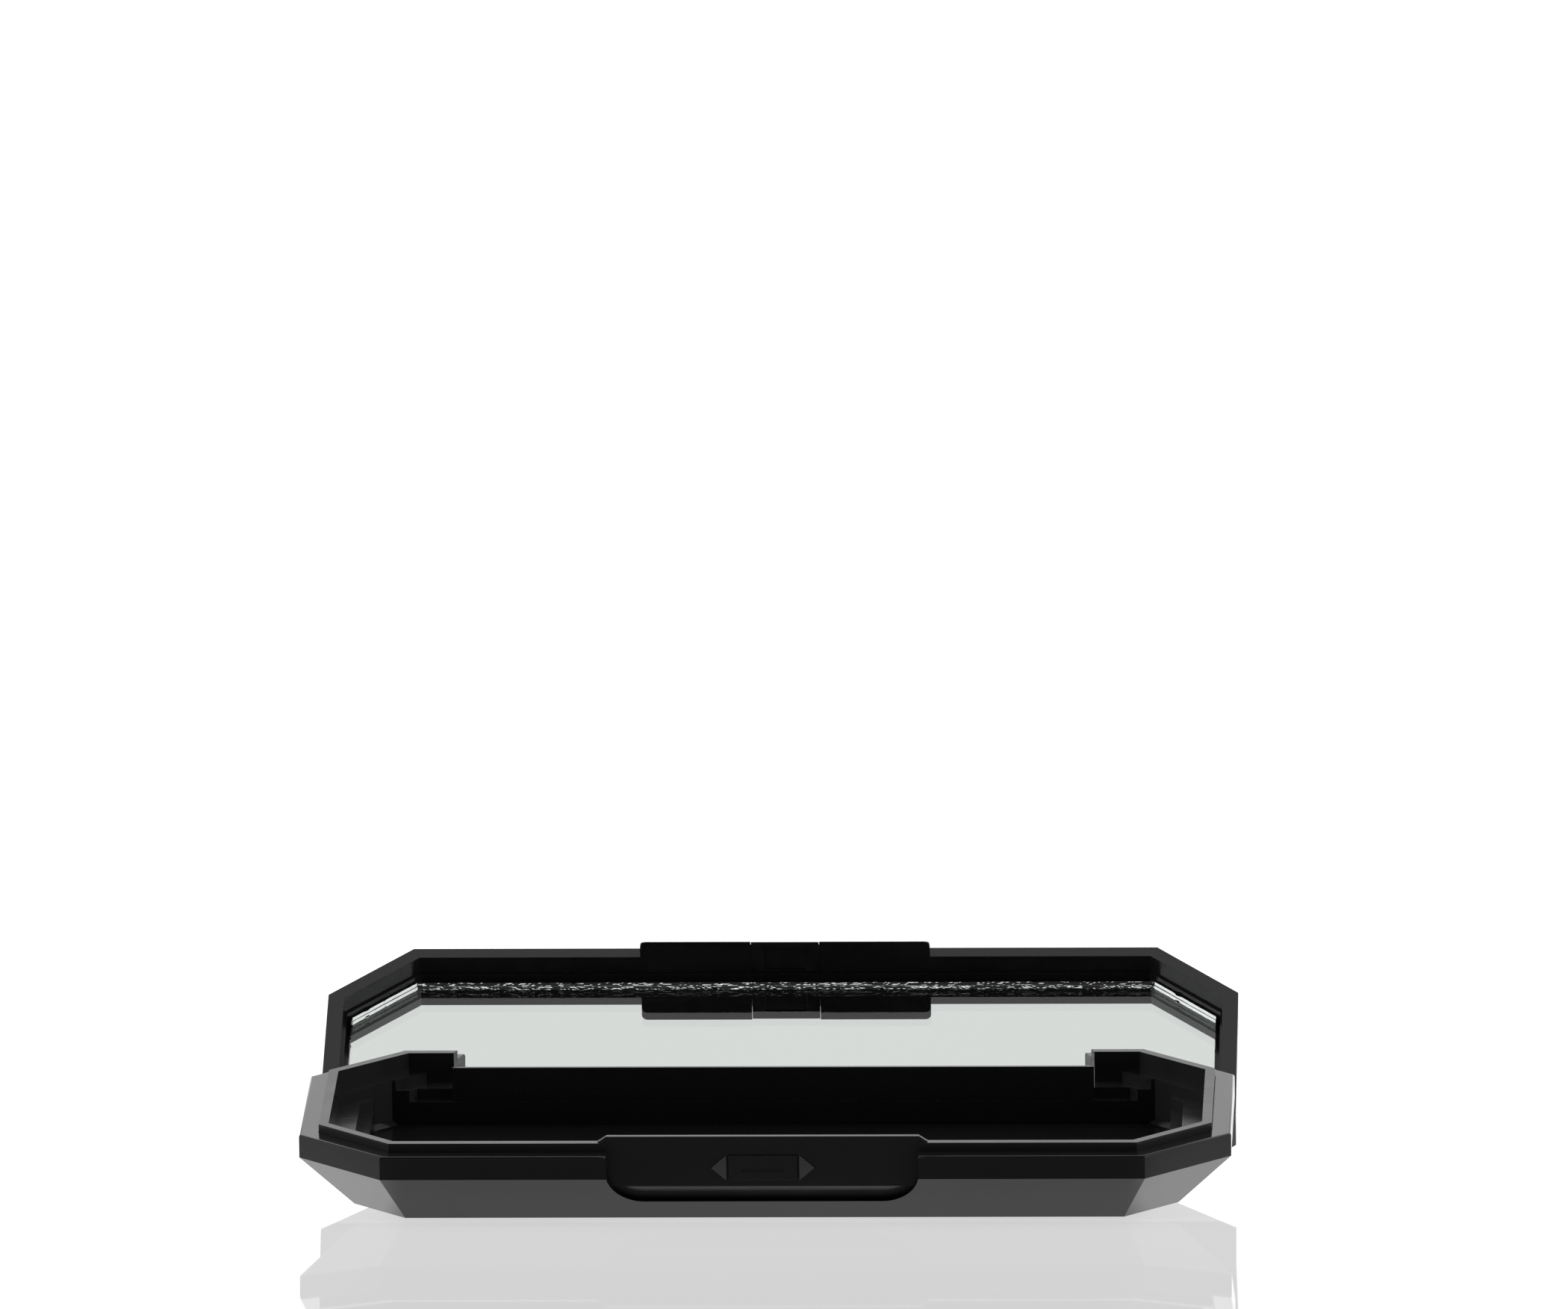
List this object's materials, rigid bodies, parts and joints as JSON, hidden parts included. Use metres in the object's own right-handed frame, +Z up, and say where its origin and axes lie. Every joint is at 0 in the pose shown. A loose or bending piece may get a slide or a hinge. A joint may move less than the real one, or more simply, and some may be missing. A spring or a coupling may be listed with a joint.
{
  "type": "make-up compact",
  "caption": "Empty octagonal black make-up palette with a stepped tray, thumb notch, latch and a hinged mirror lid, standing open.",
  "frame": {"origin": "middle of the standing open compact's box, on the table", "axes": "+X to the compact's right, +Y from the base towards the lid, +Z up from the table"},
  "size_m": [0.11, 0.0848, 0.0277],
  "materials": {
    "black_shell": "gloss moulded black",
    "black_tray": "satin moulded black",
    "black_latch": "satin moulded black",
    "pin_steel": "drawn steel wire",
    "mirror_face": "silvered glass",
    "pad_white": "thin adhesive foam"
  },
  "bodies": {
    "base": {"base_shell": "black_shell", "inner_tray": "black_tray", "latch_catch": "black_latch", "hinge_pin_left": "pin_steel", "hinge_pin_right": "pin_steel"},
    "lid": {"lid_shell": "black_shell", "latch_hook": "black_latch", "mirror_glass": "mirror_face", "mirror_tape": "pad_white"}
  },
  "joints": [
    {"name": "lid_hinge", "type": "hinge", "parent": "base", "child": "lid", "pos_m": [0, 0.00045, 0.01058], "axis": [1, 0, 0], "range_deg": [0, 161.4]}
  ]
}
